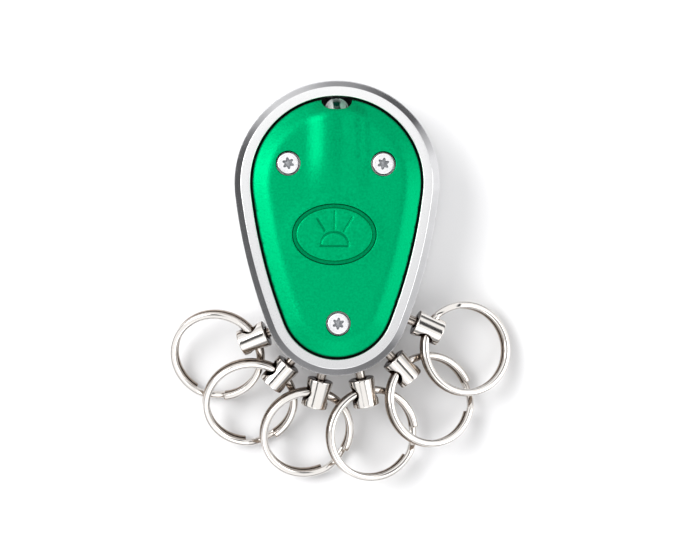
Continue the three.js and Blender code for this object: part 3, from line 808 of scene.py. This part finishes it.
def make_screw(index, x, y):
    """A screw whose head has a rounded rim, a fine turned ring and a six-lobe recess."""
    top = cover_top(x, y)
    turn = math.radians(SCREW_TURNS[index - 1])

    def loop(radius, depth, lobes=0.0):
        made = []
        for i in range(SCREW_POINTS):
            angle = TAU * i / SCREW_POINTS
            reach = radius * (1 - lobes + lobes * math.cos(6 * (angle - turn)))
            made.append((x + reach * math.cos(angle), y + reach * math.sin(angle), top - depth))
        return made

    shank = [(0.5, SCREW_LENGTH), (SHANK_R, SCREW_LENGTH - 0.6), (SHANK_R, 1.2), (HEAD_R - 0.1, 1.2)]
    rim = [(HEAD_R, 1.1), (HEAD_R, 0.25), (HEAD_R - 0.03, 0.13), (HEAD_R - 0.1, 0.04), (HEAD_R - 0.22, 0)]
    ring = [(1.72, 0), (1.68, 0.05), (1.6, 0.05), (1.56, 0), (1.35, 0)]
    star = [(RECESS_R, 0), (RECESS_R - 0.04, 0.03), (RECESS_R - 0.08, 0.1), (RECESS_R - 0.22, RECESS_DEPTH)]
    floor = [(0.45, RECESS_DEPTH), (0.3, RECESS_DEPTH - 0.06)]
    loops = [loop(*point) for point in shank + rim + ring]
    loops += [loop(*point, lobes=0.2) for point in star]
    loops += [loop(*point) for point in floor]
    mesh = bmesh.new()
    loft(mesh, loops)
    # The recess faces take a grey and the head's rim a near black: painted shade of the recess and of the gap
    # round the head.
    for face in mesh.faces:
        centre = face.calc_center_median() - Vector((x, y, top))
        reach = math.hypot(centre.x, centre.y)
        if reach < RECESS_R + 0.03 and -RECESS_DEPTH - 0.1 < centre.z < -0.02:
            face.material_index = 1
        elif reach > HEAD_R - 0.11:
            face.material_index = 2
    looks, nodes = [STEEL, SHADED_RECESS, SHADE_BLACK], [f"cover_screw_{index}"]
    return finish_piece(f"screw_{index}", mesh, looks, "root", nodes, 32)


LENS_BACK, LENS_DOME = 17.8, 23.9            # where the lens starts and where its round front end does
FLANGE_R, FLANGE_FRONT = 2.9, 18.8


def make_lamp():
    """The lamp's lens: a flange, a straight wall and a domed front end."""
    flange = rounded([
        (0, LENS_BACK), (FLANGE_R, LENS_BACK, 0.1), (FLANGE_R, FLANGE_FRONT, 0.1), (LENS_R, FLANGE_FRONT),
    ])
    angles = [math.pi / 2 * i / 16 for i in range(16)]
    dome = [(LENS_R * math.cos(angle), LENS_DOME + LENS_R * math.sin(angle)) for angle in angles]
    mesh = bmesh.new()
    turned(mesh, [*flange, *dome, (0, LENS_DOME + LENS_R)], 64, LAMP_PLACE)
    return finish_piece("lamp_lens", mesh, [LENS], "root", ["led_lamp"], 40)


# ------------------------------------------------------------------ swivels

PIN_R, PIN_HEAD_R, PIN_SHOULDER, PIN_END = 1.0, 1.7, -9.9, -2.3
BARREL_R, BARREL_HALF = 2.65, 2.9
BARREL_FLAT = BARREL_HALF - 0.25             # where the ends start to round off
MOUTH_R, EYE_R = 1.85, 1.55                  # the eye's radius at the barrel's skin and at its middle
LIP_R, THROAT_R = MOUTH_R + 0.2, MOUTH_R - 0.06
SOCKET_R, SOCKET_DEPTH = 1.3, 0.9
PATCH_POINTS = 96


def make_pin(index, station):
    """A headed pin that runs out from inside the housing and into the barrel's inner end."""
    profile = rounded([
        (0, PIN_SHOULDER - 1), (PIN_HEAD_R, PIN_SHOULDER - 1, 0.25), (PIN_HEAD_R, PIN_SHOULDER, 0.08),
        (PIN_R, PIN_SHOULDER), (PIN_R, PIN_END - 0.8), (PIN_R, PIN_END, 0.1), (0, PIN_END),
    ])
    mesh = bmesh.new()
    turned(mesh, profile, 48, swivel_place(station) @ ALONG_X)
    nodes = [f"swivel_pin_{index}"]
    return finish_piece(f"pin_{index}", mesh, [NICKEL], f"swivel_{index}", nodes, 40)


def patch_border():
    """A half barrel's edge as (x, roll angle), anticlockwise from its corner at +x, -90 degrees."""
    side, x, roll = PATCH_POINTS // 4, BARREL_FLAT, math.pi / 2
    corners = [(x, -roll), (x, roll), (-x, roll), (-x, -roll), (x, -roll)]
    return [
        (start[0] + (stop[0] - start[0]) * i / side, start[1] + (stop[1] - start[1]) * i / side)
        for start, stop in zip(corners, corners[1:])
        for i in range(side)
    ]


def skin_point(reach, angle, sign):
    """The point of a half barrel's skin that stands at a reach and angle round the eye's axis."""
    z = reach * math.sin(angle)
    return Vector((reach * math.cos(angle), sign * math.sqrt(BARREL_R ** 2 - z * z), z))


def barrel_half(sign):
    """Loops from a half barrel's edge over its skin, round the eye's lip and in to the eye's middle."""
    border = patch_border()
    angles = [math.atan2(roll / (math.pi / 2), x / BARREL_FLAT) for x, roll in border]
    loops = []
    for t in (1.0, 0.8, 0.6, 0.4, 0.2, 0.0):
        loop = []
        for (x, roll), angle in zip(border, angles):
            lip = skin_point(LIP_R, angle, sign)
            lip_roll = math.asin(lip.z / BARREL_R)
            turn = lip_roll + (roll - lip_roll) * t
            along = lip.x + (x - lip.x) * t
            loop.append(Vector((along, sign * BARREL_R * math.cos(turn), BARREL_R * math.sin(turn))))
        loops.append(loop)
    for t in (0.25, 0.5, 0.75, 1.0):
        loop = []
        for angle in angles:
            outer = skin_point(LIP_R, angle, sign)
            corner = skin_point(MOUTH_R, angle, sign)
            inner = Vector((THROAT_R * math.cos(angle), corner.y - sign * 0.3, THROAT_R * math.sin(angle)))
            loop.append(outer * (1 - t) ** 2 + corner * 2 * t * (1 - t) + inner * t * t)
        loops.append(loop)
    depths = [point.y for point in loops[-1]]
    for t in (0.2, 0.4, 0.6, 0.8, 1.0):
        reach = EYE_R + (THROAT_R - EYE_R) * (1 - t) ** 1.8
        loops.append([
            Vector((reach * math.cos(angle), depth * (1 - t), reach * math.sin(angle)))
            for depth, angle in zip(depths, angles)
        ])
    return loops


def barrel_end(sign):
    """One end's profile from the skin inward, as (radius, height). The inner end has the pin's socket."""
    rounding = [
        (BARREL_R, BARREL_FLAT), (BARREL_R - 0.02, BARREL_FLAT + 0.1), (BARREL_R - 0.08, BARREL_FLAT + 0.18),
        (BARREL_R - 0.18, BARREL_HALF - 0.02), (BARREL_R - 0.3, BARREL_HALF), (1.75, BARREL_HALF),
    ]
    if sign > 0:
        return [*rounding, (1.0, BARREL_HALF), (0.4, BARREL_HALF)]
    socket = [(SOCKET_R + 0.06, 0), (SOCKET_R, 0.06), (SOCKET_R, SOCKET_DEPTH)]
    return rounding + [(radius, BARREL_HALF - depth) for radius, depth in socket]


def make_barrel(index, station):
    """A barrel with a flared eye across it: two half skins with the eye's wall, and two ends."""
    place = swivel_place(station)
    mesh = bmesh.new()
    for sign in (1, -1):
        loft(mesh, [[place @ point for point in loop] for loop in barrel_half(sign)], caps=False)
    count = PATCH_POINTS // 2
    around = [(math.cos(TAU * i / count), math.sin(TAU * i / count)) for i in range(count)]
    for sign in (1, -1):
        profile = barrel_end(sign)
        rings = [
            [place @ Vector((sign * height, reach * c, reach * s)) for c, s in around]
            for reach, height in profile
        ]
        last = loft(mesh, rings, caps=False)[-1]
        hub = mesh.verts.new(place @ Vector((sign * profile[-1][1], 0, 0)))
        for i in range(count):
            mesh.faces.new((hub, last[i], last[(i + 1) % count]))
    nodes = [f"swivel_barrel_{index}"]
    return finish_piece(f"barrel_{index}", mesh, [NICKEL], f"swivel_{index}", nodes, 50)


# ------------------------------------------------------------------ split rings

RING_R, WIRE_WIDTH, WIRE_HEIGHT, PITCH = 8.95, 1.45, 1.2, 1.3
JOG, SLIT = 36, 2                            # the step's length round the ring, and the gap at each end
CREASE_SHADE_BAND = (-0.22, 0.3)                          # where the turns meet and the crease between them gets painted shade, measured up from their middle
SIDE_SHADE_TOP = 0.85                            # below this the wire's sides get painted shade, browner


def wire_section():
    """The flattened wire's outline, as (out, up)."""
    angles = [TAU * i / 20 for i in range(20)]
    return [
        (squared(math.cos(angle), 0.75) * WIRE_WIDTH / 2, squared(math.sin(angle), 0.75) * WIRE_HEIGHT / 2)
        for angle in angles
    ]


def make_split_ring(index, station):
    """Two turns of flattened wire with a step in one side and square ends beside it."""
    place = ring_place(station)
    section = wire_section()
    start, stop = JOG / 2 + SLIT, 720 - JOG / 2 - SLIT
    steps = 300
    route = [(start, 0.82), (start + 0.25, 0.95)]
    route += [(start + 0.8 + (stop - start - 1.6) * i / steps, 1.0) for i in range(steps + 1)]
    route += [(stop - 0.25, 0.95), (stop, 0.82)]
    loops = []
    for angle, size in route:
        lift = PITCH / 2 - PITCH * smooth(angle, 360 - JOG / 2, 360 + JOG / 2)
        turn = math.radians(station["split"] + angle)
        loop = []
        for out, up in section:
            reach = RING_R + out * size
            loop.append(place @ Vector((reach * math.cos(turn), reach * math.sin(turn), lift + up * size)))
        loops.append(loop)
    mesh = bmesh.new()
    loft(mesh, loops)
    # painted shade: a near-black band in the crease between the turns, and browner sides below it
    back = place.inverted()
    for face in mesh.faces:
        here = back @ face.calc_center_median()
        along = math.degrees(math.atan2(here.y, here.x)) - station["split"]
        if start < along % 360 < 360 - start and here.z < SIDE_SHADE_TOP:
            face.material_index = 1 if CREASE_SHADE_BAND[0] < here.z < CREASE_SHADE_BAND[1] else 2
    looks, nodes = [NICKEL, CREASE_SHADE_NICKEL, SIDE_SHADE_NICKEL], [f"key_ring_{index}"]
    return finish_piece(f"split_ring_{index}", mesh, looks, f"ring_{index}", nodes, 50)


# ------------------------------------------------------------------ pieces

make_frame()
make_cover()
make_key()
for number, site in enumerate(SCREW_SITES, 1):
    make_screw(number, *site)
make_lamp()
for number, station in enumerate(STATIONS, 1):
    make_pin(number, station)
    make_barrel(number, station)
    make_split_ring(number, station)

CARRIED = {                                  # the pieces inside and behind, which keep the shape they have
    "back_plate": SATIN, "led_anode_lead": TINNED, "led_cathode_lead": TINNED, "circuit_board": BOARD,
    "cell_tray": BLACK, "coin_cell_lower": CELL, "coin_cell_upper": CELL, "cell_contact_lower": BRASS,
    "cell_contact_upper": BRASS, "series_resistor": BLACK, "switch_body": BLACK, "switch_plunger": RED,
}
for node, material in CARRIED.items():
    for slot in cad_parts[node].material_slots:
        slot.link = "OBJECT"
        slot.material = material

# ------------------------------------------------------------------ floor and light


def make_floor():
    """A pale matt floor just under the object."""
    made = Nodes("pale_floor")
    grain = made.noise(40, 3)
    made.to_shader(made.ramp(grain, [(0.3, (0.75, 0.75, 0.76)), (0.7, (0.77, 0.77, 0.775))]), "Base Color")
    made.set(Roughness=0.7, Specular_IOR_Level=0.2, Emission_Strength=0.03, Emission_Color=(1, 1, 1, 1))
    half, height = 3.0, -1e-5
    corners = [(-half, -half, height), (half, -half, height), (half, half, height), (-half, half, height)]
    data = bpy.data.meshes.new("floor")
    data.from_pydata(corners, [], [(0, 1, 2, 3)])
    data.materials.append(made.material)
    floor = bpy.data.objects.new("floor", data)
    bpy.context.scene.collection.objects.link(floor)


def area_light(name, place, size, power):
    """A square light that faces the object, in metres and watts."""
    data = bpy.data.lights.new(name, "AREA")
    data.size = size
    data.energy = power
    light = bpy.data.objects.new(name, data)
    light.location = place
    light.rotation_euler = Vector(place).to_track_quat("Z", "Y").to_euler()
    bpy.context.scene.collection.objects.link(light)
    return light


def make_world():
    """A white studio with a dim horizon that differs round the compass, and two dark gaps overhead."""
    world = bpy.data.worlds.new("studio")
    bpy.context.scene.world = world
    world.use_nodes = True
    tree = world.node_tree
    background = tree.nodes["Background"]

    def link(source, target):
        tree.links.new(source, target)

    def maths(operation, *values):
        node = tree.nodes.new("ShaderNodeMath")
        node.operation = operation
        for value, socket in zip(values, node.inputs):
            if isinstance(value, (int, float)):
                socket.default_value = value
            else:
                link(value, socket)
        return node.outputs["Value"]

    def eased(source, low, high):
        node = tree.nodes.new("ShaderNodeMapRange")
        node.interpolation_type = "SMOOTHSTEP"
        node.inputs["From Min"].default_value = low
        node.inputs["From Max"].default_value = high
        link(source, node.inputs["Value"])
        return node.outputs["Result"]

    coords = tree.nodes.new("ShaderNodeTexCoord")
    split = tree.nodes.new("ShaderNodeSeparateXYZ")
    link(coords.outputs["Generated"], split.inputs["Vector"])
    x, y, z = (split.outputs[axis] for axis in "XYZ")

    turn = maths("ADD", maths("DIVIDE", maths("ARCTAN2", y, x), TAU), 0.5)
    levels = [((azimuth + 180) / 360, (level, level, level)) for azimuth, level in HORIZON]
    horizon = colour_ramp(tree, turn, levels)

    overhead = 1.0
    for centre_x, centre_y, half_x, half_y, darkness in DARK_GAPS:
        across = maths("DIVIDE", maths("SUBTRACT", x, centre_x), half_x)
        along = maths("DIVIDE", maths("SUBTRACT", y, centre_y), half_y)
        away = maths("SQRT", maths("ADD", maths("MULTIPLY", across, across), maths("MULTIPLY", along, along)))
        open_share = maths("ADD", maths("MULTIPLY", eased(away, *GAP_EDGE), darkness), 1 - darkness)
        overhead = maths("MULTIPLY", overhead, open_share)
    high = eased(z, *HORIZON_TOP)
    low = maths("SUBTRACT", 1, high)
    level = maths("ADD", maths("MULTIPLY", overhead, high), maths("MULTIPLY", horizon, low))
    link(colour_ramp(tree, level, SHADES), background.inputs["Color"])
    background.inputs["Strength"].default_value = OVERHEAD


OVERHEAD = 1.12
HORIZON_TOP = (0.28, 0.5)                    # where the horizon blends into the brightness overhead
HORIZON = [                                  # (direction in degrees, brightness)
    (-180, 0.1), (-150, 0.18), (-120, 0.28), (-90, 0.28), (-60, 0.2), (-40, 0.2), (-20, 0.6), (0, 0.9),
    (16, 0.9), (25, 0.6), (33, 0.4), (41, 0.11), (60, 0.11), (70, 0.2), (80, 0.3), (95, 0.38),
    (112, 0.68), (128, 0.74), (140, 0.48), (148, 0.24), (159, 0.11), (180, 0.1),
]
DARK_GAPS = [(-0.33, -0.1, 0.11, 0.3, 0.95), (0.40, 0.12, 0.13, 0.4, 0.95)]
GAP_EDGE = (0.6, 1.3)                        # how soft a gap's edge is, in shares of its half width
SHADES = [(0.0, (0.0, 0.0, 0.0)), (0.3, (0.3, 0.3, 0.305)), (1.0, (1.0, 1.0, 1.0))]

make_floor()
make_world()
area_light("key_light", (-0.82, 0.2, 0.95), 0.6, 5.5)
area_light("fill_light", (0.92, -0.1, 0.75), 0.6, 2)
area_light("front_light", (0, -0.8, 0.85), 0.5, 0.8)
area_light("shadow_light", (-0.8, 0.45, 0.55), 0.8, 10).visible_glossy = False
bpy.context.scene.view_settings.view_transform = "Standard"
